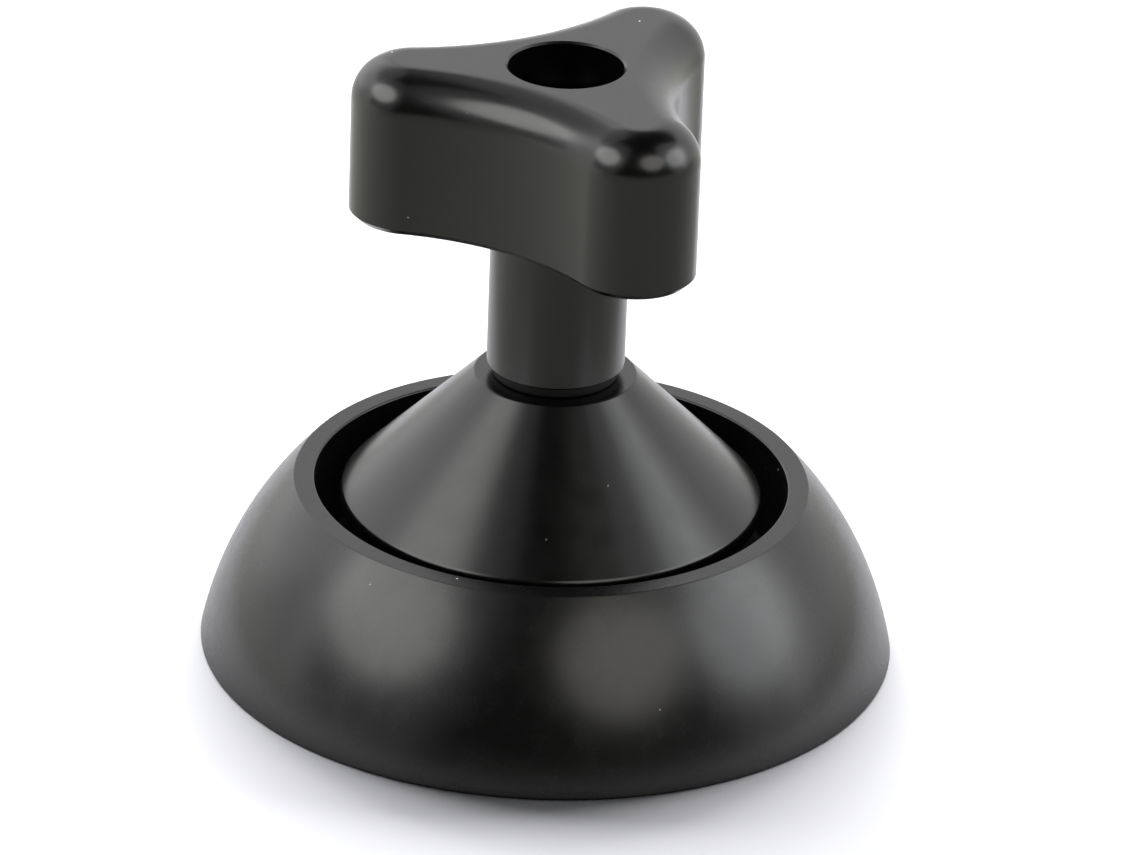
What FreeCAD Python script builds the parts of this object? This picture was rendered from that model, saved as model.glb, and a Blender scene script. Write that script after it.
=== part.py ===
"""Half ball bowl adapter with a screwed tie down handle, in millimetres.

The adapter stands upside down on its flat mounting face, as it does on a
bench. The origin is the centre of that face and +Z runs up the screw towards
the handle. The ball's rim gives the pocket, the pocket gives the cone, and the
cone's height gives the boss that carries the screw.
"""
import FreeCAD, Part
import math
import os

os.makedirs("parts", exist_ok=True)

# Half ball: the turned shell that seats in the tripod's bowl.
ball_radius = 50.0
ball_centre_drop_share = 0.187
rim_height_share = 0.5
rim_land = 2.933
plate_thickness = 10.0
pocket_floor_bevel = 3.0
boss_radius = 12.5
base_edge_break = 0.8

# Threaded steel insert in the flat face, tapped 3/8 inch.
head_insert_radius = 7.0
head_insert_length = 12.0
head_insert_recess = 0.3
head_thread_radius = 4.0
head_thread_countersink = 0.8

# Three grub screws that stop a head from turning on the flat face.
grub_count = 3
grub_circle_share = 0.6
grub_radius = 2.5
grub_length = 8.0
grub_recess = 1.0
grub_socket_flats = 2.5
grub_socket_depth = 3.0

# Tie down stud, its lock nut and its captive stop.
stud_radius = 5.95
stud_web = 2.0
stud_washer_radius = 12.0
stud_washer_thickness = 2.5
jam_nut_flats = 19.0
jam_nut_height = 6.0
jam_nut_gap = 1.187
jam_nut_corner_break = 0.7
thread_pitch = 1.75
stud_end_depth = 11.55
stop_clearance = 0.3
stop_washer_gap = 0.48
stop_washer_thickness = 1.5
stop_screw_radius = 3.0
stop_screw_length = 12.0
stop_hole_extra_depth = 2.0
stop_head_radius = 5.25
stop_head_height = 2.7
stop_head_break = 0.6
stop_socket_flats = 4.0
stop_socket_depth = 1.8

# Clamp cup: the hollow cone that pulls up against the bowl from below.
cup_slope_degrees = 45.0
cup_pocket_gap = 3.2
cup_sink = 3.7
cup_rim_land = 1.8
cup_rim_bevel = 0.5
cup_wall = 3.0
cup_crown_thickness = 3.5

# Flanged bush in the cup's crown.
bush_sleeve_wall = 1.45
bush_flange_gap = 0.66
bush_flange_thickness = 1.5
bush_sleeve_shortfall = 0.3

# Thrust washer between the stem and the cup.
thrust_washer_radius = 8.9
thrust_washer_thickness = 1.6

# Handle stem and the threaded insert that sits on the lip in its foot.
stem_radius = 9.7
stem_clear_length = 21.9
stem_wall = 1.62
stem_lip_thickness = 2.5
stem_edge_break = 0.3
handle_insert_length = 8.0
handle_insert_countersink = 0.5

# Three lobed knob with hollow flanks and a rolled upper edge.
knob_lobes = 3
knob_turn_degrees = 179.1
lobe_centre_radius = 20.9
lobe_round = 8.65
flank_radius = 37.6
knob_thickness = 23.2
knob_edge_round = 5.9
knob_foot_break = 0.9
knob_bore_break = 0.3
knob_socket_depth = 14.6

# Clearances on the radius, and the overrun of every cut.
fixed_gap = 0.02
thread_gap = 0.05
guide_gap = 0.2
pass_gap = 0.5
overrun = 1.0

# The pocket inside the ball's rim, and the cone that clears it and the lock nut.
ball_centre_drop = ball_radius * ball_centre_drop_share
rim_height = ball_radius * rim_height_share
rim_radius = math.sqrt(ball_radius ** 2 - (rim_height + ball_centre_drop) ** 2)
pocket_radius = rim_radius - rim_land
grub_circle_radius = boss_radius + (pocket_radius - boss_radius) * grub_circle_share
cup_slope = math.tan(math.radians(cup_slope_degrees))
cup_wall_run = cup_wall / math.sin(math.radians(cup_slope_degrees))
nut_corner_radius = jam_nut_flats / math.sqrt(3)
cup_above_nut = bush_flange_thickness + cup_crown_thickness
cup_rim_radius = pocket_radius - cup_pocket_gap
cup_crown_radius = nut_corner_radius + jam_nut_gap + cup_wall_run - cup_above_nut / cup_slope
cup_cone_height = (cup_rim_radius - cup_crown_radius) * cup_slope

# Heights of the seats above the flat face.
rim_foot = rim_height - cup_sink
cone_foot = rim_foot + cup_rim_land
crown_top = cone_foot + cup_cone_height
crown_underside = crown_top - cup_crown_thickness
nut_top = crown_underside - bush_flange_thickness
washer_top = nut_top - jam_nut_height
boss_top = washer_top - stud_washer_thickness
stem_foot = crown_top + thrust_washer_thickness
insert_foot = stem_foot + stem_lip_thickness
insert_top = insert_foot + handle_insert_length
knob_foot = stem_foot + stem_clear_length
stem_top = knob_foot + knob_socket_depth
knob_top = knob_foot + knob_thickness
stud_foot = head_insert_length + stud_web
stud_top = knob_top - stud_end_depth
clamp_travel = stud_top - insert_top - stop_clearance
stop_washer_top = stud_top + stop_washer_thickness

# Radii shared by pieces that fit one another.
head_insert_hole = head_insert_radius + fixed_gap
grub_hole = grub_radius + fixed_gap
stud_hole = stud_radius + fixed_gap
stop_hole = stop_screw_radius + fixed_gap
bush_bore = stud_radius + guide_gap
bush_sleeve_radius = bush_bore + bush_sleeve_wall
crown_hole = bush_sleeve_radius + fixed_gap
thrust_washer_bore = stud_radius + guide_gap
stem_lip_bore = stud_radius + pass_gap
stem_bore_radius = stem_radius - stem_wall
stop_washer_radius = stem_bore_radius - stop_washer_gap
handle_thread_radius = stud_radius + thread_gap
handle_insert_radius = stem_bore_radius - fixed_gap
knob_socket_radius = stem_radius + fixed_gap

AXIS = FreeCAD.Vector(0, 0, 1)
CENTRE = FreeCAD.Vector(0, 0, 0)


def at(radius, height):
    """Return a point of a turned profile."""
    return FreeCAD.Vector(radius, 0, height)


def line(start, end):
    """Return a straight edge between two profile points."""
    return Part.LineSegment(start, end).toShape()


def turned(edges):
    """Return the solid that a closed profile sweeps about the axis."""
    face = Part.Face(Part.Wire(edges))
    return face.revolve(CENTRE, AXIS, 360)


def outline(points):
    """Return the straight edges that join the points of a profile in turn."""
    return [line(start, end) for start, end in zip(points, points[1:])]


def turned_outline(points):
    """Return the turned solid of a profile of straight lines."""
    return turned(outline(points + points[:1]))


def rod(radius, foot, top):
    """Return a round bar on the axis between two heights."""
    return Part.makeCylinder(radius, top - foot, at(0, foot))


def ring(outer, inner, foot, top):
    """Return a plain ring between two heights."""
    return turned_outline([at(inner, foot), at(outer, foot), at(outer, top), at(inner, top)])


def hexagon(flats, foot, top):
    """Return a six sided bar on the axis, with a given size across its flats."""
    corner_radius = flats / math.sqrt(3)
    angles = [math.radians(60 * step) for step in range(6)]
    corners = [
        FreeCAD.Vector(corner_radius * math.cos(angle), corner_radius * math.sin(angle), foot)
        for angle in angles
    ]
    face = Part.Face(Part.makePolygon(corners + corners[:1]))
    return face.extrude(at(0, top - foot))


def circle_edges(shape, radius, height):
    """Return the circular edges of a turned shape at one radius and height."""
    tolerance_share = 1e-6
    tolerance = tolerance_share * ball_radius
    return [
        edge for edge in shape.Edges
        if isinstance(edge.Curve, Part.Circle)
        and abs(edge.Curve.Radius - radius) < tolerance
        and abs(edge.Curve.Center.z - height) < tolerance
    ]


def half_ball():
    """Return the turned half ball with its pocket, boss and tapped holes."""
    def on_ball(height):
        reach = height + ball_centre_drop
        return at(math.sqrt(ball_radius ** 2 - reach ** 2), height)

    base_edge = at(on_ball(0).x - base_edge_break, 0)
    ball_foot = on_ball(base_edge_break)
    ball_top = at(rim_radius, rim_height)
    ball_side = Part.Arc(ball_foot, on_ball(rim_height / 2), ball_top).toShape()
    inside = [
        ball_top,
        at(pocket_radius, rim_height),
        at(pocket_radius, plate_thickness + pocket_floor_bevel),
        at(pocket_radius - pocket_floor_bevel, plate_thickness),
        at(boss_radius, plate_thickness),
        at(boss_radius, boss_top),
        at(0, boss_top),
        CENTRE,
        base_edge,
        ball_foot,
    ]
    body = turned([ball_side] + outline(inside))
    body = body.cut(rod(stud_hole, stud_foot, boss_top + overrun))
    body = body.cut(rod(head_insert_hole, -overrun, head_insert_length))
    hole_length = plate_thickness + pocket_floor_bevel + 2 * overrun
    for place in grub_places():
        hole = Part.makeCylinder(grub_hole, hole_length, place - at(0, overrun))
        body = body.cut(hole)
    return body


def grub_places():
    """Return the centres of the grub screws' holes on the flat face."""
    places = []
    for step in range(grub_count):
        angle = math.radians(90 + 360 / grub_count * step)
        places.append(FreeCAD.Vector(
            grub_circle_radius * math.cos(angle), grub_circle_radius * math.sin(angle), 0))
    return places


def head_thread_insert():
    """Return the steel insert whose thread takes the head's screw."""
    foot = head_insert_recess
    top = head_insert_length
    return turned_outline([
        at(head_thread_radius + head_thread_countersink, foot),
        at(head_insert_radius, foot),
        at(head_insert_radius, top),
        at(head_thread_radius, top),
        at(head_thread_radius, foot + head_thread_countersink),
    ])


def anti_twist_screws():
    """Return the three socket grub screws as one group of solids."""
    foot = grub_recess
    top = grub_recess + grub_length
    screw = rod(grub_radius, foot, top)
    screw = screw.cut(hexagon(grub_socket_flats, top - grub_socket_depth, top + overrun))
    screws = []
    for place in grub_places():
        copy = screw.copy()
        copy.translate(place)
        screws.append(copy)
    return Part.makeCompound(screws)


def tie_down_stud():
    """Return the stud, with the tapped hole for its captive stop."""
    stud = rod(stud_radius, stud_foot, stud_top)
    hole_foot = stop_washer_top - stop_screw_length - stop_hole_extra_depth
    return stud.cut(rod(stop_hole, hole_foot, stud_top + overrun))


def stud_washer():
    """Return the washer between the boss and the lock nut."""
    return ring(stud_washer_radius, stud_hole, boss_top, washer_top)


def stud_jam_nut():
    """Return the six sided nut that locks the stud in the boss."""
    nut = hexagon(jam_nut_flats, washer_top, nut_top)
    flat_radius = jam_nut_flats / 2
    rounded = turned_outline([
        at(0, washer_top),
        at(nut_corner_radius, washer_top),
        at(nut_corner_radius, nut_top - jam_nut_corner_break),
        at(flat_radius, nut_top),
        at(0, nut_top),
    ])
    nut = nut.common(rounded)
    return nut.cut(rod(stud_hole, washer_top - overrun, nut_top + overrun))


def stop_washer():
    """Return the washer on the stud's free end that keeps the handle on."""
    return ring(stop_washer_radius, stop_hole, stud_top, stop_washer_top)


def stop_screw():
    """Return the low socket screw that holds the stop washer."""
    head_top = stop_washer_top + stop_head_height
    shank_foot = stop_washer_top - stop_screw_length
    screw = turned_outline([
        at(0, shank_foot),
        at(stop_screw_radius, shank_foot),
        at(stop_screw_radius, stop_washer_top),
        at(stop_head_radius, stop_washer_top),
        at(stop_head_radius, head_top - stop_head_break),
        at(stop_head_radius - stop_head_break, head_top),
        at(0, head_top),
    ])
    return screw.cut(hexagon(stop_socket_flats, head_top - stop_socket_depth, head_top + overrun))


def thrust_washer():
    """Return the smooth washer that the stem turns on."""
    return ring(thrust_washer_radius, thrust_washer_bore, crown_top, stem_foot)


def cup_inner_radius(height):
    """Return the radius of the cup's hollow at a height."""
    return cup_crown_radius - cup_wall_run + (crown_top - height) / cup_slope


def clamp_cup():
    """Return the hollow cone with its flat crown and bevelled rim."""
    slope_angle = math.radians(cup_slope_degrees)
    bevel_run = cup_rim_bevel * math.cos(slope_angle)
    bevel_rise = cup_rim_bevel * math.sin(slope_angle)
    return turned_outline([
        at(crown_hole, crown_underside),
        at(cup_inner_radius(crown_underside), crown_underside),
        at(cup_inner_radius(rim_foot), rim_foot),
        at(cup_rim_radius - cup_rim_bevel, rim_foot),
        at(cup_rim_radius, rim_foot + cup_rim_bevel),
        at(cup_rim_radius, cone_foot - cup_rim_bevel),
        at(cup_rim_radius - bevel_run, cone_foot + bevel_rise),
        at(cup_crown_radius, crown_top),
        at(crown_hole, crown_top),
    ])


def cup_bush():
    """Return the flanged bush that guides the cup on the stud."""
    bush_flange_radius = cup_inner_radius(crown_underside) - bush_flange_gap
    return turned_outline([
        at(bush_bore, nut_top),
        at(bush_flange_radius, nut_top),
        at(bush_flange_radius, crown_underside),
        at(bush_sleeve_radius, crown_underside),
        at(bush_sleeve_radius, crown_top - bush_sleeve_shortfall),
        at(bush_bore, crown_top - bush_sleeve_shortfall),
    ])


def handle_stem():
    """Return the sleeve between the knob and the thrust washer."""
    return turned_outline([
        at(stem_lip_bore, stem_foot),
        at(stem_radius - stem_edge_break, stem_foot),
        at(stem_radius, stem_foot + stem_edge_break),
        at(stem_radius, stem_top),
        at(stem_bore_radius, stem_top),
        at(stem_bore_radius, insert_foot),
        at(stem_lip_bore, insert_foot),
    ])


def handle_thread_insert():
    """Return the tapped insert that sits on the lip in the stem's foot."""
    return turned_outline([
        at(handle_thread_radius, insert_foot),
        at(handle_insert_radius, insert_foot),
        at(handle_insert_radius, insert_top),
        at(handle_thread_radius + handle_insert_countersink, insert_top),
        at(handle_thread_radius, insert_top - handle_insert_countersink),
    ])


def knob_outline():
    """Return the closed outline of round lobes joined by hollow flanks."""
    half_step = math.pi / knob_lobes
    reach = lobe_round + flank_radius
    across = lobe_centre_radius * math.sin(half_step)
    flank_centre_radius = lobe_centre_radius * math.cos(half_step) + math.sqrt(reach ** 2 - across ** 2)

    def polar(radius, angle):
        return FreeCAD.Vector(radius * math.cos(angle), radius * math.sin(angle), knob_foot)

    def joint(lobe_angle, flank_angle):
        lobe = polar(lobe_centre_radius, lobe_angle)
        flank = polar(flank_centre_radius, flank_angle)
        return lobe + (flank - lobe) * (lobe_round / reach)

    edges = []
    for step in range(knob_lobes):
        lobe_angle = math.radians(knob_turn_degrees) + 2 * half_step * step
        flank_angle = lobe_angle + half_step
        next_lobe = flank_angle + half_step
        lobe_start = joint(lobe_angle, lobe_angle - half_step)
        lobe_tip = polar(lobe_centre_radius + lobe_round, lobe_angle)
        lobe_end = joint(lobe_angle, flank_angle)
        flank_middle = polar(flank_centre_radius - flank_radius, flank_angle)
        flank_end = joint(next_lobe, flank_angle)
        edges.append(Part.Arc(lobe_start, lobe_tip, lobe_end).toShape())
        edges.append(Part.Arc(lobe_end, flank_middle, flank_end).toShape())
    return Part.Wire(Part.__sortEdges__(edges))


def knob():
    """Return the lobed knob, rolled over at the top and bored for the stem."""
    body = Part.Face(knob_outline()).extrude(at(0, knob_thickness))
    tolerance_share = 1e-6
    tolerance = tolerance_share * knob_thickness

    def edges_at(shape, height):
        return [
            edge for edge in shape.Edges
            if abs(edge.BoundBox.ZMin - height) < tolerance and abs(edge.BoundBox.ZMax - height) < tolerance
        ]

    body = body.makeFillet(knob_edge_round, edges_at(body, knob_top))
    body = body.makeChamfer(knob_foot_break, edges_at(body, knob_foot))
    body = body.cut(rod(stem_bore_radius, knob_foot - overrun, knob_top + overrun))
    body = body.cut(rod(knob_socket_radius, knob_foot - overrun, stem_top))
    return body.makeChamfer(knob_bore_break, circle_edges(body, stem_bore_radius, knob_top))


PIECES = [
    half_ball,
    head_thread_insert,
    anti_twist_screws,
    tie_down_stud,
    stud_washer,
    stud_jam_nut,
    stop_washer,
    stop_screw,
    thrust_washer,
    clamp_cup,
    cup_bush,
    handle_stem,
    handle_thread_insert,
    knob,
]

for piece in PIECES:
    shape = piece()
    shape.exportStep("parts/" + piece.__name__ + ".step")
    print(piece.__name__, "solids", len(shape.Solids), "valid", shape.isValid(), "volume", round(shape.Volume, 1))
print("clamp travel", round(clamp_travel, 3), "in turns of the screw", round(clamp_travel / thread_pitch, 3))
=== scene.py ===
"""Looks of the half ball bowl adapter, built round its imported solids.

The adapter stands upside down on its flat face. Each sub-assembly is a class
that models its pieces with Blender's own operators and dresses them, and the
studio is a class of its own. Lengths are in metres and angles in degrees.
"""

import logging
import math
from collections.abc import Callable, Iterator
from contextlib import contextmanager
from dataclasses import dataclass, replace
from enum import Enum

import bmesh
import bpy
from mathutils import Matrix, Vector

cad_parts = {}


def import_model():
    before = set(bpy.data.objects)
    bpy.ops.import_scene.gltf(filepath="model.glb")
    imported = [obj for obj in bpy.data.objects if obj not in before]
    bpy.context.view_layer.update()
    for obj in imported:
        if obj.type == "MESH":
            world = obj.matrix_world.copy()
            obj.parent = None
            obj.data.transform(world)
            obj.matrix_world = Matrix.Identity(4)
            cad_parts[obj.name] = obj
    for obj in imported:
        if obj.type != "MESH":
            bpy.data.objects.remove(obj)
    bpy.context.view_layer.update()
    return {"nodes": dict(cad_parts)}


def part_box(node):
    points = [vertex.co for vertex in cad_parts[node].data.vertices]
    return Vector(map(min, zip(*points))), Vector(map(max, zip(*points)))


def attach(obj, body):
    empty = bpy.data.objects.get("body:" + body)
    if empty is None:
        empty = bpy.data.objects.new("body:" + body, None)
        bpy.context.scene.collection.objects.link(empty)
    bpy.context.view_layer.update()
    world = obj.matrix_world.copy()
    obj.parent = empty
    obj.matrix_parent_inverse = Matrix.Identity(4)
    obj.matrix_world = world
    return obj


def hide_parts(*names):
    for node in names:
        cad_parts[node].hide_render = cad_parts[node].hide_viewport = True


Piece = bpy.types.Object
Socket = bpy.types.NodeSocket
Colour = tuple[float, float, float]
Place = tuple[float, float, float]

LOG = logging.getLogger("bowl_adapter")
MM = 0.001
SIDES = 192
SMALL_SIDES = 96
DRILL_SIDES = 64
STAGE_SIDES = 128
HAIR = 0.001 * MM
RING_SLACK = 0.02 * MM
SMOOTH_BELOW = 28

CLOUD_SIZE = 9 * MM
PATCH_SIZE = 3 * MM
SPECK_CORE = 0.10 * MM
SPECK_RIM = 0.17 * MM
SPECK_SHADE = (0.75, 0.74, 0.70)
MATT = 0.62
MATT_EDGE = 0.2 * MM
MILLED_STRETCH = (0.15, 0.15, 1)


class Body(Enum):
    """The bodies that pieces ride on."""

    BALL = "ball"
    CARRIAGE = "carriage"
    CUP = "cup"
    HANDLE = "handle"


class Marks(Enum):
    """What the last operation left on a surface."""

    NONE = "none"
    TURNED = "turned"
    MILLED = "milled"


@dataclass
class Graph:
    """A node tree, and short ways to add what the finishes and the studio need."""

    tree: bpy.types.NodeTree

    def fill(self, node: bpy.types.Node, inputs: dict[str | int, object]) -> None:
        """Fill the inputs of a node.

        Args:
            node: The node that has the inputs.
            inputs: A value, or another node's socket, for each input by name or number.
        """
        for key, given in inputs.items():
            if isinstance(given, Socket):
                self.tree.links.new(given, node.inputs[key])
            else:
                node.inputs[key].default_value = given

    def add(self, kind: str, inputs: dict[str | int, object], **settings: object) -> bpy.types.Node:
        """Add a node.

        Args:
            kind: The node's type, without the ShaderNode that it starts with.
            inputs: What its inputs are filled with.
            settings: The node's own settings.

        Returns:
            The new node.
        """
        node = self.tree.nodes.new(f"ShaderNode{kind}")
        for name, setting in settings.items():
            setattr(node, name, setting)
        self.fill(node, inputs)
        return node

    def noise(self, place: Socket, size: float, detail: float) -> Socket:
        """Return noise whose cells are about one size across.

        Args:
            place: The coordinates that the noise reads.
            size: The width of a cell.
            detail: The number of finer octaves.

        Returns:
            The noise's value.
        """
        return self.add("TexNoise", {"Vector": place, "Scale": 1 / size, "Detail": detail}).outputs["Fac"]

    def mapped(self, value: Socket, low: float, high: float, start: float = 0.3, end: float = 0.7) -> Socket:
        """Return a value stretched from one range to another.

        Args:
            value: The value to stretch.
            low: What the start of the range becomes.
            high: What the end of the range becomes.
            start: The start of the range.
            end: The end of the range.

        Returns:
            The stretched value.
        """
        inputs = {"Value": value, "From Min": start, "From Max": end, "To Min": low, "To Max": high}
        return self.add("MapRange", inputs).outputs["Result"]

    def mixed(self, share: Socket, first: Colour | Socket, second: Colour | Socket) -> Socket:
        """Return a colour between two others.

        Args:
            share: How much of the second colour shows.
            first: The first colour, or what gives it.
            second: The second colour, or what gives it.

        Returns:
            The mixed colour.
        """
        first, second = ((*colour, 1) if isinstance(colour, tuple) else colour for colour in (first, second))
        mix = self.add("Mix", {"Factor": share, "A": first, "B": second}, data_type="RGBA")
        return mix.outputs["Result"]

    def worked(self, operation: str, first: Socket, second: Socket) -> Socket:
        """Return what a Math node makes of two values.

        Args:
            operation: What the node does.
            first: The first value.
            second: The second value.

        Returns:
            The result.
        """
        return self.add("Math", {0: first, 1: second}, operation=operation).outputs["Value"]

    def reach(self, place: Socket) -> Socket:
        """Return the distance of a place from the object's axis.

        Args:
            place: The coordinates that it is worked out from.

        Returns:
            The distance.
        """
        flat = self.add("VectorMath", {0: place, 1: (1, 1, 0)}, operation="MULTIPLY").outputs["Vector"]
        return self.add("VectorMath", {0: flat}, operation="LENGTH").outputs["Value"]

    def bump(self, height: Socket, depth: float, **under: Socket) -> Socket:
        """Return the surface's direction over a relief.

        Args:
            height: The relief's height, from 0 to 1.
            depth: The length that a height of 1 stands for.
            under: The direction of a coarser relief that it lies on, as Normal.

        Returns:
            The direction.
        """
        inputs = {"Strength": 1, "Distance": depth, "Height": height, **under}
        return self.add("Bump", inputs).outputs["Normal"]


@dataclass(frozen=True)
class Finish:
    """A surface finish, built as a procedural material.

    The grain is the fine tooth of the surface and the marks are what the tool
    left. Sizes, pitches and depths are lengths, and the shades are linear
    colour. Dust is the spacing of the specks that have settled, or 0 for none.
    Within the matt radius, about the axis, the surface is rougher.
    """

    name: str
    shade: Colour
    worn_shade: Colour
    metallic: float
    roughness: float
    index: float
    grain_size: float
    grain_depth: float
    marks: Marks = Marks.NONE
    mark_pitch: float = 0.0
    mark_depth: float = 0.0
    roughness_spread: float = 0.04
    dust: float = 0.0
    matt_radius: float = 0.0

    def material(self) -> bpy.types.Material:
        """Return the material, made once and shared by its pieces.

        Returns:
            The node material of this finish.
        """
        title = f"{self.name}_finish"
        if title in bpy.data.materials:
            return bpy.data.materials[title]
        material = bpy.data.materials.new(title)
        material.use_nodes = True
        graph = Graph(material.node_tree)
        place = graph.add("TexCoord", {}).outputs["Object"]
        graph.fill(material.node_tree.nodes["Principled BSDF"], {
            "Metallic": self.metallic,
            "IOR": self.index,
            "Base Color": self._colour(graph, place),
            "Roughness": self._gloss(graph, place),
            "Normal": self._relief(graph, place),
        })
        return material

    def _colour(self, graph: Graph, place: Socket) -> Socket:
        """Return the slightly uneven colour, with its dust specks.

        Args:
            graph: The material's nodes.
            place: The coordinates that its patterns read.

        Returns:
            The colour.
        """
        cloud = graph.mapped(graph.noise(place, CLOUD_SIZE, 3), 0, 1)
        colour = graph.mixed(cloud, self.shade, self.worn_shade)
        if not self.dust:
            return colour
        specks = graph.add("TexVoronoi", {"Vector": place, "Scale": 1 / self.dust})
        near = graph.mapped(specks.outputs["Distance"], 1, 0, SPECK_CORE / self.dust, SPECK_RIM / self.dust)
        return graph.mixed(near, colour, SPECK_SHADE)

    def _gloss(self, graph: Graph, place: Socket) -> Socket:
        """Return the slightly uneven roughness.

        Args:
            graph: The material's nodes.
            place: The coordinates that its patterns read.

        Returns:
            The roughness.
        """
        half = self.roughness_spread / 2
        gloss = graph.mapped(graph.noise(place, PATCH_SIZE, 4), self.roughness - half, self.roughness + half)
        if not self.matt_radius:
            return gloss
        matt = graph.mapped(graph.reach(place), MATT, 0, self.matt_radius - MATT_EDGE, self.matt_radius)
        return graph.worked("MAXIMUM", gloss, matt)

    def _relief(self, graph: Graph, place: Socket) -> Socket:
        """Return the surface's direction, with its grain and the marks of the tool.

        Args:
            graph: The material's nodes.
            place: The coordinates that its patterns read.

        Returns:
            The direction.
        """
        grain = graph.noise(place, self.grain_size, 2)
        if self.marks is Marks.NONE:
            return graph.bump(grain, self.grain_depth)
        marks = graph.noise(self._mark_place(graph, place), self.mark_pitch, 3)
        return graph.bump(grain, self.grain_depth, Normal=graph.bump(marks, self.mark_depth))

    def _mark_place(self, graph: Graph, place: Socket) -> Socket:
        """Return the coordinates in which the tool's marks run.

        Args:
            graph: The material's nodes.
            place: The coordinates that they are worked out from.

        Returns:
            The coordinates, round the axis where turned and level where milled.
        """
        if self.marks is Marks.MILLED:
            return graph.add("Mapping", {"Vector": place, "Scale": MILLED_STRETCH}).outputs["Vector"]
        height = graph.add("SeparateXYZ", {"Vector": place}).outputs["Z"]
        return graph.add("CombineXYZ", {"X": graph.reach(place), "Z": height}).outputs["Vector"]


BALL_ANODISE = Finish(
    "black_anodised_ball", (0.0020, 0.0020, 0.0021), (0.0032, 0.0032, 0.0032),
    metallic=0.0, roughness=0.265, index=1.6, grain_size=0.16 * MM, grain_depth=0.0006 * MM,
    marks=Marks.TURNED, mark_pitch=0.35 * MM, mark_depth=0.0008 * MM, dust=6.5 * MM, matt_radius=33.5 * MM)
CUP_ANODISE = replace(
    BALL_ANODISE, name="black_anodised_cup", roughness=0.24, mark_pitch=0.30 * MM, dust=8 * MM,
    matt_radius=0.0)
HANDLE_ANODISE = replace(
    CUP_ANODISE, name="black_anodised_handle", index=1.66, grain_size=0.14 * MM, grain_depth=0.0005 * MM,
    marks=Marks.MILLED, mark_pitch=0.60 * MM, mark_depth=0.0006 * MM)
STAINLESS = Finish(
    "stainless_steel", (0.52, 0.52, 0.53), (0.58, 0.58, 0.59),
    metallic=1.0, roughness=0.28, index=1.5, grain_size=0.10 * MM, grain_depth=0.001 * MM,
    marks=Marks.TURNED, mark_pitch=0.12 * MM, mark_depth=0.002 * MM)
ZINC = Finish(
    "zinc_plated_steel", (0.58, 0.59, 0.61), (0.66, 0.67, 0.69),
    metallic=1.0, roughness=0.24, index=1.5, grain_size=0.22 * MM, grain_depth=0.002 * MM)
BLACK_OXIDE = Finish(
    "black_oxide_steel", (0.045, 0.045, 0.048), (0.07, 0.07, 0.073),
    metallic=1.0, roughness=0.38, index=1.5, grain_size=0.12 * MM, grain_depth=0.002 * MM)
BLACK_NYLON = Finish(
    "black_nylon", (0.0030, 0.0030, 0.0031), (0.0045, 0.0045, 0.0045),
    metallic=0.0, roughness=0.62, index=1.45, grain_size=0.20 * MM, grain_depth=0.003 * MM)
BRONZE = Finish(
    "sintered_bronze", (0.48, 0.31, 0.14), (0.60, 0.41, 0.21),
    metallic=1.0, roughness=0.45, index=1.5, grain_size=0.09 * MM, grain_depth=0.006 * MM,
    roughness_spread=0.12)


def polar(radius: float, angle: float, height: float = 0.0) -> Vector:
    """Return the point at a radius and an angle, in radians, about the axis."""
    return Vector((radius * math.cos(angle), radius * math.sin(angle), height))


def pick(piece: Piece) -> None:
    """Make one object the active one and the only one selected."""
    bpy.ops.object.select_all(action="DESELECT")
    bpy.context.view_layer.objects.active = piece
    piece.select_set(True)


@contextmanager
def editing(piece: Piece, kind: str = "EDGE") -> Iterator[None]:
    """Hold one piece in edit mode.

    Args:
        piece: The object whose mesh is shaped.
        kind: What is selected: VERT, EDGE or FACE.

    Yields:
        Nothing, while the piece is in edit mode.
    """
    pick(piece)
    bpy.ops.object.mode_set(mode="EDIT")
    bpy.ops.mesh.select_mode(type=kind)
    yield
    bpy.ops.object.mode_set(mode="OBJECT")


def placed(name: str, add: Callable[..., object], **words: object) -> Piece:
    """Add a primitive, with its place in its mesh.

    Args:
        name: The new object's name.
        add: The operator that adds the primitive.
        words: The operator's own words.

    Returns:
        The primitive's object, at the origin.
    """
    bpy.ops.object.select_all(action="DESELECT")
    add(**words)
    piece = bpy.context.object
    piece.name = name
    bpy.ops.object.transform_apply(location=True, rotation=True, scale=True)
    return piece


def rod(name: str, radius: float, depth: float, middle: Place, sides: int = DRILL_SIDES,
        turn: float = 0.0) -> Piece:
    """Add a straight rod that stands on end.

    Args:
        name: The new object's name.
        radius: The rod's radius, to its corners.
        depth: The rod's length.
        middle: The point half way up it.
        sides: The number of its sides.
        turn: How far it is turned about its own line.

    Returns:
        The rod.
    """
    return placed(name, bpy.ops.mesh.primitive_cylinder_add, vertices=sides, radius=radius, depth=depth,
                  location=middle, rotation=(0, 0, math.radians(turn)))


def disc(name: str, radius: float, height: float = 0.0) -> Piece:
    """Add a level disc of the studio.

    Args:
        name: The new object's name.
        radius: The disc's radius.
        height: The height at which it lies.

    Returns:
        The disc.
    """
    return placed(name, bpy.ops.mesh.primitive_circle_add, vertices=STAGE_SIDES, radius=radius,
                  fill_type="NGON", location=(0, 0, height))


def cut(place: Place, facing: Place, **words: object) -> None:
    """Bisect the whole mesh at a plane, in edit mode.

    Args:
        place: A point of the plane.
        facing: The plane's direction.
        words: The operator's other words.
    """
    bpy.ops.mesh.select_all(action="SELECT")
    bpy.ops.mesh.bisect(plane_co=place, plane_no=facing, **words)


def face_outwards(weld: float = 0.0) -> None:
    """Turn all the faces outwards, in edit mode.

    Args:
        weld: How near to each other points are merged first, or 0 for none.
    """
    bpy.ops.mesh.select_all(action="SELECT")
    if weld:
        bpy.ops.mesh.remove_doubles(threshold=weld)
    bpy.ops.mesh.normals_make_consistent(inside=False)


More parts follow.
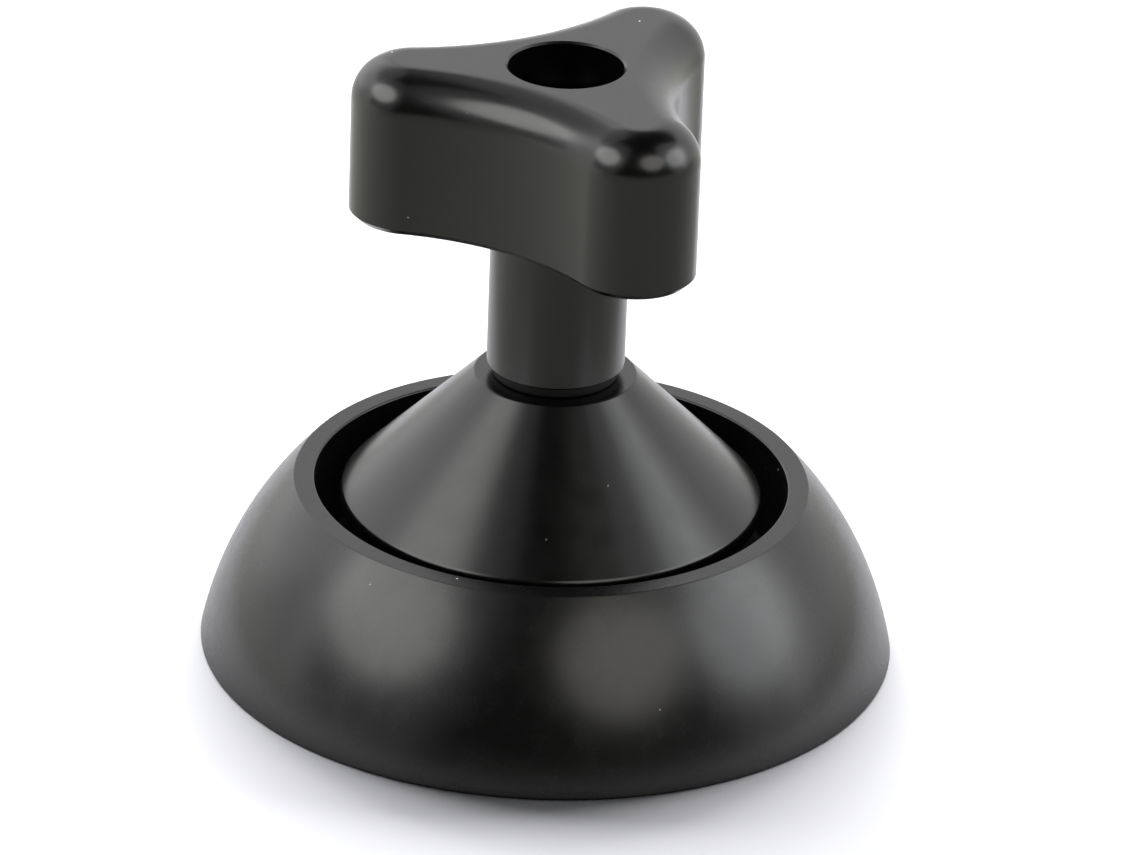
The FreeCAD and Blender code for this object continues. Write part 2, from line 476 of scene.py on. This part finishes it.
def select_edges(piece: Piece, wanted: Callable[[Vector], bool]) -> int:
    """Select, in edit mode, just the edges whose two ends pass a test.

    Args:
        piece: The object in edit mode.
        wanted: The test of an end.

    Returns:
        The number of edges selected.
    """
    mesh = bmesh.from_edit_mesh(piece.data)
    bpy.ops.mesh.select_all(action="DESELECT")
    count = 0
    for edge in mesh.edges:
        if all(wanted(end.co) for end in edge.verts):
            edge.select_set(True)
            count += 1
    mesh.select_flush_mode()
    bmesh.update_edit_mesh(piece.data)
    return count


def at_height(height: float) -> Callable[[Vector], bool]:
    """Return the test for points at one height."""
    return lambda point: abs(point.z - height) < HAIR


def on_ring(radius: float, height: float) -> Callable[[Vector], bool]:
    """Return the test for points of one ring about the axis."""
    return lambda point: (abs(point.z - height) < RING_SLACK
                          and abs(point.to_2d().length - radius) < RING_SLACK)


def radius_at(piece: Piece, height: float) -> float:
    """Return how far the mesh reaches from the axis at one height, in edit mode."""
    points = [vert.co for vert in bmesh.from_edit_mesh(piece.data).verts]
    return max(point.to_2d().length for point in filter(at_height(height), points))


def carry_on(rings: list[tuple[float, float]]) -> None:
    """Extrude the selected ring through more rings, in edit mode.

    Args:
        rings: The radius and height of the selected ring and of each that follows.
    """
    for (radius, height), (next_radius, next_height) in zip(rings, rings[1:]):
        bpy.ops.mesh.extrude_region_move(TRANSFORM_OT_translate={"value": (0, 0, next_height - height)})
        if next_radius != radius:
            share = next_radius / radius
            bpy.ops.transform.resize(value=(share, share, 1), center_override=(0, 0, next_height))


def turned(name: str, profile: list[tuple[float, float]], sides: int = SIDES) -> Piece:
    """Turn a closed ring, extruded from a circle through its profile.

    Args:
        name: The new object's name.
        profile: The radius and height of each ring, in order round the section.
        sides: The number of sides of a ring.

    Returns:
        The turned piece.
    """
    first_radius, first_height = profile[0]
    piece = placed(name, bpy.ops.mesh.primitive_circle_add, vertices=sides, radius=first_radius,
                   location=(0, 0, first_height))
    with editing(piece):
        bpy.ops.mesh.select_all(action="SELECT")
        carry_on(profile + profile[:1])
        face_outwards(HAIR)
    return piece


def turned_bar(name: str, profile: list[tuple[float, float]], sides: int = SIDES) -> Piece:
    """Turn a bar, extruded from a filled circle up its profile and closed.

    Args:
        name: The new object's name.
        profile: The radius and height of each ring, from end to end.
        sides: The number of sides of a ring.

    Returns:
        The turned bar.
    """
    first_radius, first_height = profile[0]
    piece = placed(name, bpy.ops.mesh.primitive_circle_add, vertices=sides, radius=first_radius,
                   fill_type="NGON", location=(0, 0, first_height))
    with editing(piece, "FACE"):
        bpy.ops.mesh.select_all(action="SELECT")
        carry_on(profile)
        face_outwards()
    return piece


def round_ring(piece: Piece, radius: float, height: float, width: float, segments: int) -> None:
    """Round the ring of edges at one radius and height.

    Args:
        piece: The piece that has the ring.
        radius: The ring's radius.
        height: The ring's height.
        width: How far the round reaches along each side.
        segments: The number of faces across the round.
    """
    with editing(piece):
        if not select_edges(piece, on_ring(radius, height)):
            raise ValueError(f"{piece.name} has no ring of radius {radius} at {height}")
        bpy.ops.mesh.bevel(offset=width, offset_type="OFFSET", segments=segments, profile=0.5,
                           clamp_overlap=True)


def modify(piece: Piece, kind: str, **settings: object) -> None:
    """Give a piece a modifier and apply it.

    Args:
        piece: The piece that it changes.
        kind: The modifier's type.
        settings: The modifier's own settings.
    """
    pick(piece)
    modifier = piece.modifiers.new(kind.lower(), kind)
    for name, setting in settings.items():
        setattr(modifier, name, setting)
    bpy.ops.object.modifier_apply(modifier=modifier.name)


def combine(piece: Piece, tool: Piece, operation: str) -> None:
    """Cut, join or intersect a piece with a tool, and remove the tool.

    Args:
        piece: The piece that is kept.
        tool: The object that shapes it.
        operation: DIFFERENCE, UNION or INTERSECT.
    """
    modify(piece, "BOOLEAN", operation=operation, solver="EXACT", object=tool)
    bpy.data.objects.remove(tool)


def dress(piece: Piece, finish: Finish, body: Body, node: str) -> None:
    """Smooth a finished piece, give it its finish and set it on its body.

    Args:
        piece: The finished piece.
        finish: The finish it wears.
        body: The body it rides on.
        node: The solid that it stands for.
    """
    pick(piece)
    bpy.ops.object.shade_smooth_by_angle(angle=math.radians(SMOOTH_BELOW))
    modify(piece, "WEIGHTED_NORMAL", keep_sharp=True)
    piece.data.materials.clear()
    piece.data.materials.append(finish.material())
    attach(piece, body.value)
    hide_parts(node)
    LOG.info("%s: %d faces, for %s", piece.name, len(piece.data.polygons), node)


@dataclass(frozen=True)
class Thread:
    """A V thread, swept as a bar. Flat and flank are their shares of the pitch."""

    pitch: float
    outer_radius: float
    depth: float
    flat: float = 0.08
    flank: float = 0.42
    steps: int = 40
    lead_in: float = 1.5
    spare_turns: int = 2
    seam_weld: float = 0.002 * MM
    cut_slack: float = 0.0001 * MM

    @property
    def root_radius(self) -> float:
        """The radius at the bottom of the groove."""
        return self.outer_radius - self.depth

    def swept(self, name: str, foot: float, top: float) -> Piece:
        """Return a threaded bar between two heights.

        Args:
            name: The new object's name.
            foot: The lower end's height.
            top: The upper end's height.

        Returns:
            The closed threaded bar.
        """
        crest, root = self.outer_radius, self.root_radius
        section = ((root, self.flat), (crest, self.flank), (crest, self.flat), (root, self.flank))
        piece = placed(name, bpy.ops.mesh.primitive_plane_add, size=self.pitch,
                       location=(root, 0, foot - self.lead_in * self.pitch))
        with editing(piece, "VERT"):
            bpy.ops.mesh.merge(type="CENTER")
            for radius, rise in section:
                here = next(v.co.copy() for v in bmesh.from_edit_mesh(piece.data).verts if v.select)
                bpy.ops.mesh.extrude_region_move(
                    TRANSFORM_OT_translate={"value": (radius - here.x, 0, rise * self.pitch)})
        modify(piece, "SCREW", screw_offset=self.pitch, steps=self.steps, render_steps=self.steps,
               iterations=math.ceil((top - foot) / self.pitch) + self.spare_turns,
               use_merge_vertices=True, merge_threshold=self.seam_weld)
        with editing(piece):
            for height, side in ((foot, {"clear_inner": True}), (top, {"clear_outer": True})):
                cut((0, 0, height), (0, 0, 1), use_fill=True, threshold=self.cut_slack, **side)
            face_outwards(HAIR)
        return piece


@dataclass
class HalfBall:
    """The turned half ball and its threaded insert."""

    ball_radius: float = 50 * MM
    centre_drop: float = 9.35 * MM
    rim_height: float = 25 * MM
    rim_land: float = 2.933 * MM
    plate: float = 10 * MM
    boss_radius: float = 12.5 * MM
    floor_round: float = 1.0 * MM
    root_round: float = 1.2 * MM
    foot_height: float = 0.3 * MM
    foot_steps: int = 8
    rim_break: float = 0.02 * MM
    pocket_break: float = 0.3 * MM
    boss_break: float = 0.2 * MM
    insert_radius: float = 7.02 * MM
    stud_hole: float = 5.97 * MM
    grubs: int = 3
    grub_hole: float = 2.52 * MM
    grub_circle: float = 25.04 * MM
    grub_turn: float = 90
    head_thread: Thread = Thread(25.4 / 16 * MM, 4.7 * MM, 0.7 * MM)
    thread_lead: float = 0.8 * MM

    def build(self) -> None:
        """Model and dress every piece of the half ball."""
        dress(self.shell(), BALL_ANODISE, Body.BALL, "half_ball")
        dress(self.threaded_insert(), STAINLESS, Body.BALL, "head_thread_insert")

    def shell(self) -> Piece:
        """Return the shell, cut from a sphere and hollowed from its rim.

        Returns:
            The half ball with its pocket, boss and holes.
        """
        boss_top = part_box("half_ball")[1].z
        shell = placed("half_ball_shell", bpy.ops.mesh.primitive_uv_sphere_add, segments=SIDES,
                       ring_count=SIDES // 2, radius=self.ball_radius, location=(0, 0, -self.centre_drop))
        reach = self.rim_height + self.centre_drop
        pocket = math.sqrt(self.ball_radius ** 2 - reach ** 2) - self.rim_land
        with editing(shell):
            cut((0, 0, self.foot_height), (0, 0, 1), clear_inner=True)
            cut((0, 0, self.rim_height), (0, 0, 1), clear_outer=True)
            rim = radius_at(shell, self.rim_height)
            foot = radius_at(shell, self.foot_height)
            select_edges(shell, on_ring(rim, self.rim_height))
            carry_on([(rim, self.rim_height), (pocket, self.rim_height), (pocket, self.plate),
                      (self.boss_radius, self.plate), (self.boss_radius, boss_top)])
            bpy.ops.mesh.edge_face_add()
            select_edges(shell, on_ring(foot, self.foot_height))
            carry_on([(foot, self.foot_height), *self.foot_arc(foot)])
            bpy.ops.mesh.edge_face_add()
            face_outwards()
        round_ring(shell, rim, self.rim_height, self.rim_break, segments=3)
        round_ring(shell, pocket, self.rim_height, self.pocket_break, segments=6)
        round_ring(shell, pocket, self.plate, self.floor_round, segments=5)
        round_ring(shell, self.boss_radius, self.plate, self.root_round, segments=6)
        round_ring(shell, self.boss_radius, boss_top, self.boss_break, segments=3)
        self.drill(shell, boss_top)
        return shell

    def foot_arc(self, start: float) -> list[tuple[float, float]]:
        """Return the rings that carry the sphere on round the foot's edge to the flat face.

        Args:
            start: The sphere's radius where the round starts.

        Returns:
            The radius and height of each ring.
        """
        lean = math.asin((self.foot_height + self.centre_drop) / self.ball_radius)
        bend = self.foot_height / (1 + math.sin(lean))
        centre = start - bend * math.cos(lean)
        step = (lean + math.pi / 2) / self.foot_steps
        turns = [lean - step * count for count in range(1, self.foot_steps + 1)]
        return [(centre + bend * math.cos(turn), bend + bend * math.sin(turn)) for turn in turns]

    def drill(self, shell: Piece, boss_top: float) -> None:
        """Cut the insert's seat, the stud's hole and the grub screws' holes.

        Args:
            shell: The half ball without its holes.
            boss_top: The height of the boss in its pocket.
        """
        insert_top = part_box("head_thread_insert")[1].z
        stud_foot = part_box("tie_down_stud")[0].z
        cuts = [(self.insert_radius, -self.plate, insert_top, Vector()),
                (self.stud_hole, stud_foot, boss_top + self.plate, Vector())]
        for count in range(self.grubs):
            angle = math.radians(self.grub_turn + 360 / self.grubs * count)
            cuts.append((self.grub_hole, -self.plate, 1.5 * self.plate, polar(self.grub_circle, angle)))
        for radius, foot, top, place in cuts:
            drill = rod("drill", radius, top - foot, (place.x, place.y, (foot + top) / 2))
            combine(shell, drill, "DIFFERENCE")

    def threaded_insert(self) -> Piece:
        """Return the steel insert with its real thread for the head's screw.

        Returns:
            The threaded insert.
        """
        low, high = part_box("head_thread_insert")
        foot, top, outer = low.z, high.z, high.x
        bore, pitch = self.head_thread.root_radius, self.head_thread.pitch
        insert = turned("head_thread_insert_threaded", [
            (bore + self.thread_lead, foot), (outer, foot), (outer, top), (bore, top),
            (bore, foot + self.thread_lead)], SMALL_SIDES)
        combine(insert, self.head_thread.swept("tap", foot - pitch, top + pitch), "DIFFERENCE")
        return insert


@dataclass
class TieDown:
    """The stud that is fixed in the boss, with its nut, washers and stop."""

    thread: Thread = Thread(1.75 * MM, 5.95 * MM, 0.95 * MM)
    edge: float = 0.25 * MM
    tap_depth: float = 12.5 * MM
    clear_of_thread: float = 1.05
    nut_chamfer: float = 0.7 * MM
    clear_of_corner: float = 1.01
    washer_clearance: float = 0.2 * MM
    washer_round: float = 0.3 * MM
    screw_shank: float = 3 * MM
    head_round: float = 1.1 * MM
    socket_flats: float = 4 * MM
    socket_depth: float = 1.8 * MM

    def build(self) -> None:
        """Model and dress every piece of the tie down."""
        dress(self.stud(), ZINC, Body.BALL, "tie_down_stud")
        dress(self.nut(), ZINC, Body.BALL, "stud_jam_nut")
        for node, bore in (("stud_washer", self.thread.outer_radius), ("stop_washer", self.screw_shank)):
            dress(self.washer(node, bore), ZINC, Body.BALL, node)
        dress(self.stop_screw(), BLACK_OXIDE, Body.BALL, "stop_screw")
        dress(self.thrust_washer(), BLACK_NYLON, Body.CARRIAGE, "thrust_washer")

    def stud(self) -> Piece:
        """Return the threaded stud with its chamfered ends and tapped hole.

        Returns:
            The stud.
        """
        low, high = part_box("tie_down_stud")
        stud = self.thread.swept("tie_down_stud_threaded", low.z, high.z)
        root, depth = self.thread.root_radius, self.thread.depth
        wide = self.thread.outer_radius * self.clear_of_thread
        limit = turned_bar("stud_limit", [
            (root, low.z - 2 * self.edge), (wide, low.z + depth), (wide, high.z - depth),
            (root, high.z + 2 * self.edge)], SMALL_SIDES)
        combine(stud, limit, "INTERSECT")
        combine(stud, rod("hole", self.screw_shank, 2 * self.tap_depth, (0, 0, high.z)), "DIFFERENCE")
        return stud

    def nut(self) -> Piece:
        """Return the hexagon nut with its corners turned off at both ends.

        Returns:
            The lock nut.
        """
        low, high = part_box("stud_jam_nut")
        corner, height, middle = high.x, high.z - low.z, (low.z + high.z) / 2
        flat = corner * math.cos(math.radians(30))
        nut = rod("stud_jam_nut_chamfered", corner, height, (0, 0, middle), sides=6, turn=30)
        rounding = turned_bar("rounding", [
            (flat, low.z), (corner, low.z + self.nut_chamfer), (corner * self.clear_of_corner, middle),
            (corner, high.z - self.nut_chamfer), (flat, high.z)], SMALL_SIDES)
        combine(nut, rounding, "INTERSECT")
        bore = rod("bore", self.thread.outer_radius, 3 * height, (0, 0, low.z), SMALL_SIDES)
        combine(nut, bore, "DIFFERENCE")
        return nut

    def flat_ring(self, node: str, bore: float) -> Piece:
        """Return a flat ring as wide and high as a solid.

        Args:
            node: The solid that it stands for.
            bore: The radius of its hole.

        Returns:
            The ring, with sharp edges.
        """
        low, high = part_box(node)
        return turned(node + "_rounded", [(bore, low.z), (high.x, low.z), (high.x, high.z), (bore, high.z)])

    def washer(self, node: str, bore: float) -> Piece:
        """Return a steel washer with broken edges.

        Args:
            node: The solid that the washer stands for.
            bore: The radius of its hole.

        Returns:
            The washer.
        """
        low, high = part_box(node)
        piece = self.flat_ring(node, bore)
        for radius, height in ((high.x, low.z), (high.x, high.z), (bore, high.z)):
            round_ring(piece, radius, height, self.edge, segments=3)
        return piece

    def thrust_washer(self) -> Piece:
        """Return the nylon washer that the stem turns on.

        Returns:
            The thrust washer.
        """
        low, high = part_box("thrust_washer")
        piece = self.flat_ring("thrust_washer", self.thread.outer_radius + self.washer_clearance)
        for height in (low.z, high.z):
            round_ring(piece, high.x, height, self.washer_round, segments=4)
        return piece

    def stop_screw(self) -> Piece:
        """Return the low socket screw that holds the stop washer.

        Returns:
            The stop screw.
        """
        low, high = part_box("stop_screw")
        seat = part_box("stop_washer")[1].z
        head = high.x
        screw = turned_bar("stop_screw_domed", [
            (self.screw_shank, low.z), (self.screw_shank, seat), (head, seat), (head, high.z)], SMALL_SIDES)
        round_ring(screw, head, high.z, self.head_round, segments=6)
        corner = self.socket_flats / math.sqrt(3)
        combine(screw, rod("socket", corner, 2 * self.socket_depth, (0, 0, high.z), sides=6), "DIFFERENCE")
        return screw


@dataclass
class ClampCup:
    """The hollow cone that pulls up against the bowl."""

    crown_radius: float = 11.4 * MM
    rim_land: float = 2.25 * MM
    rim_inset: float = 0.45 * MM
    rim_round: float = 0.45 * MM
    rim_break: float = 0.4 * MM
    crown_break: float = 0.15 * MM
    wall: float = 3 * MM
    crown: float = 3.5 * MM
    hole: float = 7.62 * MM

    def build(self) -> None:
        """Model and dress the cup."""
        dress(self.cone(), CUP_ANODISE, Body.CUP, "clamp_cup")

    def cone(self) -> Piece:
        """Return the cup, turned round its wall.

        Returns:
            The hollow cone.
        """
        low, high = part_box("clamp_cup")
        rim = high.x - self.rim_inset
        cone_foot = low.z + self.rim_land
        inner_drop = self.wall * math.sqrt(2)
        crown_under = high.z - self.crown
        inner_crown = self.crown_radius - inner_drop + self.crown
        inner_rim = self.crown_radius - inner_drop + high.z - low.z
        cup = turned("clamp_cup_cone", [
            (rim, cone_foot), (self.crown_radius, high.z), (self.hole, high.z), (self.hole, crown_under),
            (inner_crown, crown_under), (inner_rim, low.z), (rim, low.z)])
        round_ring(cup, rim, cone_foot, self.rim_round, segments=5)
        round_ring(cup, rim, low.z, self.rim_break, segments=4)
        round_ring(cup, self.crown_radius, high.z, self.crown_break, segments=3)
        return cup


@dataclass
class Handle:
    """The stem and the lobed knob."""

    lobes: int = 3
    turn: float = 179.1
    lobe_centre: float = 20.9 * MM
    lobe_round: float = 8.65 * MM
    lobe_steps: int = 56
    flank_round: float = 37.6 * MM
    flank_steps: int = 40
    seam_weld: float = 0.005 * MM
    edge_round: float = 5.9 * MM
    edge_segments: int = 18
    foot_break: float = 0.9 * MM
    bore: float = 8.08 * MM
    bore_break: float = 0.3 * MM
    lip_bore: float = 6.45 * MM
    lip: float = 2.5 * MM
    stem_break: float = 0.3 * MM

    def build(self) -> None:
        """Model and dress the stem and the knob."""
        dress(self.stem(), HANDLE_ANODISE, Body.HANDLE, "handle_stem")
        dress(self.knob(), HANDLE_ANODISE, Body.HANDLE, "knob")

    def stem(self) -> Piece:
        """Return the sleeve with the lip that its insert sits on.

        Returns:
            The stem.
        """
        low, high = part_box("handle_stem")
        piece = turned("handle_stem_turned", [
            (self.lip_bore, low.z), (high.x, low.z), (high.x, high.z), (self.bore, high.z),
            (self.bore, low.z + self.lip), (self.lip_bore, low.z + self.lip)])
        round_ring(piece, high.x, low.z, self.stem_break, segments=4)
        return piece

    def outline(self, height: float) -> Piece:
        """Return the knob's flat outline, spun arc by arc.

        Args:
            height: The height at which it lies.

        Returns:
            The filled outline.
        """
        half_step = math.pi / self.lobes
        reach = self.lobe_round + self.flank_round
        across = self.lobe_centre * math.sin(half_step)
        flank_centre = self.lobe_centre * math.cos(half_step) + math.sqrt(reach ** 2 - across ** 2)
        lobe_sweep = 2 * math.atan2(flank_centre * math.sin(half_step),
                                    flank_centre * math.cos(half_step) - self.lobe_centre)
        flank_sweep = 2 * math.asin(across / reach)
        first = math.radians(self.turn)
        start = polar(self.lobe_centre, first, height) + polar(self.lobe_round, first - lobe_sweep / 2)
        outline = placed("knob_lobed", bpy.ops.mesh.primitive_plane_add, size=self.edge_round, location=start)
        with editing(outline, "VERT"):
            bpy.ops.mesh.merge(type="CENTER")
            for count in range(self.lobes):
                angle = first + 2 * half_step * count
                bpy.ops.mesh.spin(steps=self.lobe_steps, angle=lobe_sweep, axis=(0, 0, -1),
                                  center=polar(self.lobe_centre, angle, height))
                bpy.ops.mesh.spin(steps=self.flank_steps, angle=flank_sweep, axis=(0, 0, 1),
                                  center=polar(flank_centre, angle + half_step, height))
            bpy.ops.mesh.select_all(action="SELECT")
            bpy.ops.mesh.remove_doubles(threshold=self.seam_weld)
            bpy.ops.mesh.edge_face_add()
        return outline

    def knob(self) -> Piece:
        """Return the knob, raised from its outline, rolled over and bored.

        Returns:
            The knob.
        """
        low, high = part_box("knob")
        knob = self.outline(low.z)
        with editing(knob, "FACE"):
            bpy.ops.mesh.select_all(action="SELECT")
            bpy.ops.mesh.extrude_region_move(TRANSFORM_OT_translate={"value": (0, 0, high.z - low.z)})
            face_outwards()
        for height, width, segments in ((high.z, self.edge_round, self.edge_segments),
                                        (low.z, self.foot_break, 1)):
            with editing(knob):
                select_edges(knob, at_height(height))
                bpy.ops.mesh.bevel(offset=width, offset_type="OFFSET", segments=segments, profile=0.5,
                                   clamp_overlap=False)
        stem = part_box("handle_stem")[1]
        combine(knob, turned_bar("drill", [
            (stem.x, low.z - self.lip), (stem.x, stem.z), (self.bore, stem.z),
            (self.bore, high.z - self.bore_break),
            (self.bore + 2 * self.bore_break, high.z + self.bore_break)]), "DIFFERENCE")
        return knob


@dataclass
class Carried:
    """The solids that keep their own shape and only get their finish."""

    finishes: tuple[tuple[str, Finish], ...] = (
        ("anti_twist_screws", BLACK_OXIDE),
        ("cup_bush", BRONZE),
        ("handle_thread_insert", STAINLESS),
    )

    def build(self, nodes: dict[str, Piece]) -> None:
        """Dress the carried solids.

        Args:
            nodes: The frame's solids by name.
        """
        for name, finish in self.finishes:
            solid = nodes[name]
            solid.data.materials.clear()
            solid.data.materials.append(finish.material())
            LOG.info("%s keeps its solid and wears %s", name, finish.name)


@dataclass(frozen=True)
class Softbox:
    """A soft lamp, placed by its bearing from the object and as wide and high as it looks from there."""

    name: str
    azimuth: float
    elevation: float
    width: float
    height: float
    level: float
    diffuse: bool = True
    glossy: bool = True
    tint: Colour = (1.0, 1.0, 1.0)
    distance: float = 2.5

    def build(self, aim: Vector) -> None:
        """Hang the lamp.

        Args:
            aim: The point that the lamp faces.
        """
        bearing, lift = math.radians(self.azimuth), math.radians(self.elevation)
        flat = math.cos(lift)
        away = Vector((math.sin(bearing) * flat, math.cos(bearing) * flat, math.sin(lift)))
        data = bpy.data.lights.new(self.name, "AREA")
        data.shape = "ELLIPSE"
        data.size, data.size_y = (
            2 * self.distance * math.tan(math.radians(angle / 2)) for angle in (self.width, self.height))
        data.color = self.tint
        data.energy = self.level * math.pi * (math.pi / 4 * data.size * data.size_y)
        lamp = bpy.data.objects.new(self.name, data)
        lamp.location = aim + away * self.distance
        lamp.rotation_mode = "QUATERNION"
        lamp.rotation_quaternion = away.to_track_quat("Z", "Y")
        lamp.visible_camera = False
        lamp.visible_diffuse = self.diffuse
        lamp.visible_glossy = self.glossy
        bpy.context.scene.collection.objects.link(lamp)


@dataclass
class Studio:
    """The white table, the cloths round it, the lamps and the camera.

    The cloths' near and far values, of painted shade, and their painted shadow
    values are each a distance and the level there.
    """

    eye: Place = (0.0, -1.027374, 0.528695)
    forward: Place = (0.0020804, 0.90071555, -0.43440439)
    up: Place = (-0.03653385, 0.43418378, 0.90008317)
    lens: float = 256.05
    sensor: float = 36.0
    clip: tuple[float, float] = (0.05, 50.0)
    table_radius: float = 4.0
    table_front: float = 75 * MM
    table_corner: float = 84 * MM
    table_side: float = 8
    table_drop: float = 4 * MM
    table_white: Colour = (0.85, 0.85, 0.89)
    table_grey: Colour = (0.64, 0.64, 0.66)
    table_roughness: float = 0.7
    table_specular: float = 0.2
    apron_radius: float = 250 * MM
    apron_drop: float = 0.01 * MM
    cloth_tint: Colour = (1.0, 1.0, 0.93)
    cloth_shade_near: tuple[float, float] = (-150 * MM, 0.42)
    cloth_shade_far: tuple[float, float] = (250 * MM, 1.0)
    cloth_slant: float = -0.5
    cloth_painted_shadow: tuple[float, float] = (80 * MM, 0.62)
    cloth_clear: tuple[float, float] = (180 * MM, 1.0)
    aim_height: float = 45 * MM
    softboxes: tuple[Softbox, ...] = (
        Softbox("softbox_left", -110.5, 35, 49, 39, 2.92, diffuse=False, tint=(1.0, 1.0, 0.98)),
        Softbox("softbox_left_edge", -113, 31, 67, 90, 0.33, diffuse=False),
        Softbox("softbox_right", 95.5, 27, 40, 38, 2.2, diffuse=False, tint=(0.98, 1.0, 1.02)),
        Softbox("softbox_right_edge", 94.6, 30.7, 54, 70, 0.58, diffuse=False),
        Softbox("softbox_front_right", 148.7, 35.8, 40.6, 38.6, 1.70, diffuse=False, tint=(1.0, 0.98, 0.93)),
        Softbox("softbox_behind", -43.6, 33.8, 57.6, 70, 0.52, diffuse=False),
        Softbox("panel_back", 0, 38.5, 38, 15, 20, glossy=False),
        Softbox("panel_back_left", -37, 38.5, 38, 15, 20, glossy=False),
        Softbox("panel_back_right", 37, 38.5, 38, 15, 17, glossy=False),
    )
    room_level: float = 0.015
    room_radius: float = 3.5
    room_segments: int = 120
    room_rings: int = 90
    backdrop_spread: float = 94
    backdrop_top: float = 40
    surround_level: float = 0.9
    surround_tint: Colour = (0.95, 0.97, 1.0)

    def build(self) -> None:
        """Set up the table, the light and the camera."""
        self.table()
        self.floor_cloth()
        self.dark_room()
        self.surround()
        for softbox in self.softboxes:
            softbox.build(Vector((0, 0, self.aim_height)))
        self.camera()

    def table(self) -> None:
        """Lay the white table, and the apron that carries it on for the camera alone.

        Both keep the object's shadow. The table is cut near the object, so that
        its reflections end there.
        """
        side = math.radians(self.table_side)
        top = disc("table", self.table_radius)
        with editing(top, "FACE"):
            cut((0, -self.table_front, 0), (0, 1, 0), clear_inner=True)
            for hand in (-1, 1):
                cut((hand * self.table_corner, -self.table_front, 0),
                    (hand * math.cos(side), -math.sin(side), 0), clear_outer=True)
        apron = disc("table_apron", self.apron_radius, -self.apron_drop)
        apron.visible_diffuse = False
        apron.visible_glossy = False
        apron.visible_shadow = False
        material = bpy.data.materials.new("table_white")
        material.use_nodes = True
        graph = Graph(material.node_tree)
        seen = graph.add("LightPath", {}).outputs["Is Camera Ray"]
        graph.fill(material.node_tree.nodes["Principled BSDF"], {
            "Base Color": graph.mixed(seen, self.table_grey, self.table_white),
            "Roughness": self.table_roughness,
            "Specular IOR Level": self.table_specular,
        })
        for piece in (top, apron):
            piece.data.materials.append(material)

    def cloth(self, piece: Piece) -> tuple[Graph, bpy.types.Node]:
        """Make a studio piece a glowing cloth, which the camera looks through.

        Args:
            piece: The object that becomes the cloth.

        Returns:
            The nodes of the cloth's material, and the one that glows.
        """
        material = bpy.data.materials.new(piece.name)
        material.use_nodes = True
        graph = Graph(material.node_tree)
        graph.tree.nodes.clear()
        glow = graph.add("Emission", {"Color": (*self.cloth_tint, 1)})
        graph.add("OutputMaterial", {"Surface": glow.outputs["Emission"]})
        piece.data.materials.append(material)
        piece.visible_camera = False
        return graph, glow

    def floor_cloth(self) -> None:
        """Lay the grey glowing cloth that shows round the table in reflections, a painted reflection of the
        floor, with painted shadow near the object and painted shade towards the front right.
        """
        graph, glow = self.cloth(disc("floor_cloth", self.table_radius, -self.table_drop))
        place = graph.add("TexCoord", {}).outputs["Object"]
        slant = {0: place, 1: (self.cloth_slant, 1, 0)}
        along = graph.add("VectorMath", slant, operation="DOT_PRODUCT").outputs["Value"]
        away = graph.add("VectorMath", {0: place}, operation="LENGTH").outputs["Value"]
        # Painted shade: the glow dims towards the front right and, as a painted shadow, near the object.
        levels = []
        for value, first, last in ((along, self.cloth_shade_near, self.cloth_shade_far),
                                   (away, self.cloth_painted_shadow, self.cloth_clear)):
            levels.append(graph.mapped(value, first[1], last[1], first[0], last[0]))
        graph.fill(glow, {"Strength": graph.worked("MULTIPLY", *levels)})

    def dark_room(self) -> None:
        """Hang the dark cloth round the front and overhead."""
        room = placed("dark_cloth", bpy.ops.mesh.primitive_uv_sphere_add, segments=self.room_segments,
                      ring_count=self.room_rings, radius=self.room_radius)
        with editing(room, "FACE"):
            mesh = bmesh.from_edit_mesh(room.data)
            bpy.ops.mesh.select_all(action="DESELECT")
            for face in mesh.faces:
                middle = face.calc_center_median()
                lift = math.degrees(math.asin(middle.z / middle.length))
                bearing = abs(math.degrees(math.atan2(middle.x, middle.y)))
                if lift < 0 or (lift < self.backdrop_top and bearing < self.backdrop_spread):
                    face.select_set(True)
            bmesh.update_edit_mesh(room.data)
            bpy.ops.mesh.delete(type="FACE")
        graph, glow = self.cloth(room)
        graph.fill(glow, {"Strength": self.room_level})

    def surround(self) -> None:
        """Surround the table with plain white, and with a softer light that only diffuse rays meet."""
        world = bpy.data.worlds.new("surround")
        bpy.context.scene.world = world
        world.use_nodes = True
        graph = Graph(world.node_tree)
        graph.tree.nodes.clear()
        path = graph.add("LightPath", {})
        seen = path.outputs["Is Camera Ray"]
        for ray in ("Is Glossy Ray", "Is Transmission Ray"):
            seen = graph.worked("MAXIMUM", seen, path.outputs[ray])
        light, white = (
            graph.add("Background", {"Color": (*tint, 1), "Strength": level}).outputs["Background"]
            for tint, level in ((self.surround_tint, self.surround_level), ((1, 1, 1), 1)))
        mix = graph.add("MixShader", {"Fac": seen, 1: light, 2: white})
        graph.add("OutputWorld", {"Surface": mix.outputs["Shader"]})

    def camera(self) -> None:
        """Set the camera where the photograph was taken from."""
        data = bpy.data.cameras.new("camera")
        data.sensor_width = self.sensor
        data.lens = self.lens
        data.clip_start, data.clip_end = self.clip
        camera = bpy.data.objects.new("camera", data)
        ahead = Vector(self.forward).normalized()
        right = ahead.cross(Vector(self.up)).normalized()
        turn = Matrix((right, right.cross(ahead), -ahead)).transposed()
        camera.matrix_world = Matrix.Translation(self.eye) @ turn.to_4x4()
        bpy.context.scene.collection.objects.link(camera)
        bpy.context.scene.camera = camera
        bpy.context.scene.view_settings.view_transform = "Standard"


def main() -> None:
    """Build the adapter's looks and the studio round its solids."""
    logging.basicConfig(level=logging.INFO, format="%(name)s: %(message)s")
    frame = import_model()
    HalfBall().build()
    TieDown().build()
    ClampCup().build()
    Handle().build()
    Carried().build(frame["nodes"])
    Studio().build()
    bpy.context.view_layer.update()


if __name__ == "__main__":
    main()
